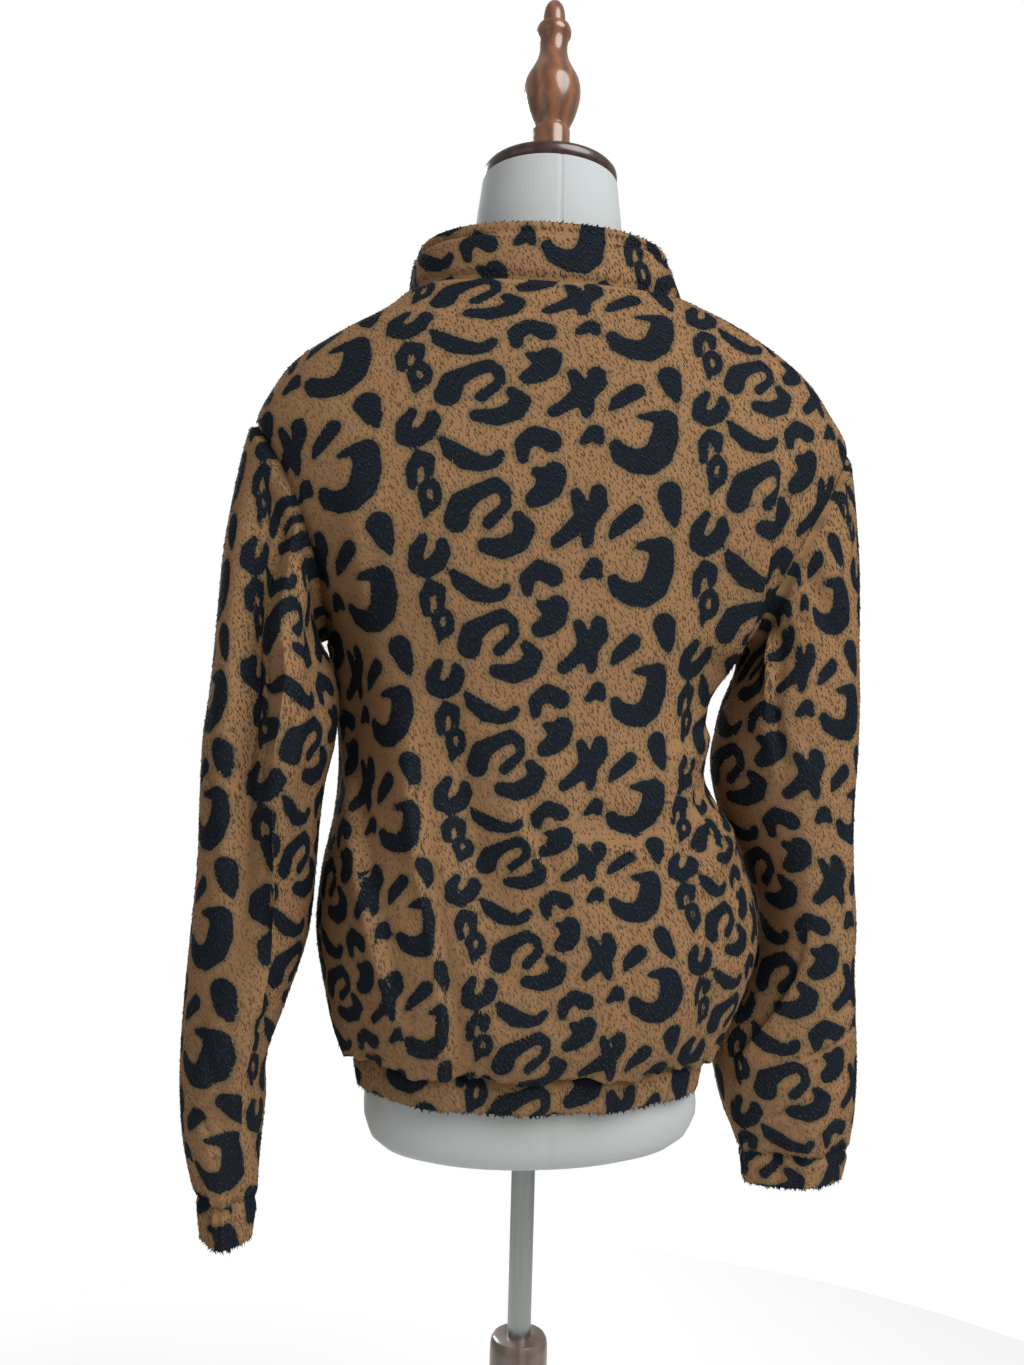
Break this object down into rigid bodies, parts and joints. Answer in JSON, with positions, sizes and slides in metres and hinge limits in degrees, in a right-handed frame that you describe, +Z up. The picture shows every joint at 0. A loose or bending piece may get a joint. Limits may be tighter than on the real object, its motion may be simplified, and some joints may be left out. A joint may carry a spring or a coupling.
{
  "type": "teddy fleece jacket on a dress form",
  "caption": "Boxy zip-up teddy fleece jacket with stand collar, blouson hem and gathered cuffs, standing by itself on a limbless dress form with a turned wooden stand.",
  "frame": {"origin": "on the floor, on the stand pole's axis, at the middle of the four feet", "axes": "+Z up along the pole; the jacket's front, with its zip, faces -Y; the wearer's left sleeve is on +X"},
  "size_m": [0.6, 0.6, 1.502],
  "materials": {
    "teddy_fleece": "long-nap teddy pile, camel with a dark animal print",
    "zip_tape": "woven tape",
    "zip_metal": "dull metal",
    "form_cotton": "plain woven cover",
    "dark_wood": "dark satin",
    "varnished_wood": "gloss varnish",
    "stand_wood": "satin",
    "pole_steel": "satin"
  },
  "bodies": {
    "jacket_on_form": {"back_panel": "teddy_fleece", "front_left": "teddy_fleece", "front_right": "teddy_fleece", "collar": "teddy_fleece", "hem_band": "teddy_fleece", "sleeve_left": "teddy_fleece", "sleeve_right": "teddy_fleece", "cuff_left": "teddy_fleece", "cuff_right": "teddy_fleece", "zip_tape_left": "zip_tape", "zip_tape_right": "zip_tape", "zip_teeth": "zip_metal", "zip_slider": "zip_metal", "form_torso": "form_cotton", "neck_cap": "dark_wood", "neck_finial": "varnished_wood", "stand_pole": "pole_steel", "stand_column": "stand_wood", "leg_left": "stand_wood", "leg_back": "stand_wood", "leg_right": "stand_wood", "leg_front": "stand_wood"},
    "pull_tab": {"zip_pull_tab": "zip_metal"}
  },
  "joints": [
    {"name": "pull_tab_swing", "type": "hinge", "parent": "jacket_on_form", "child": "pull_tab", "pos_m": [0, -0.09895, 1.23209], "axis": [-1, 0, 0], "range_deg": [0, 150]}
  ]
}
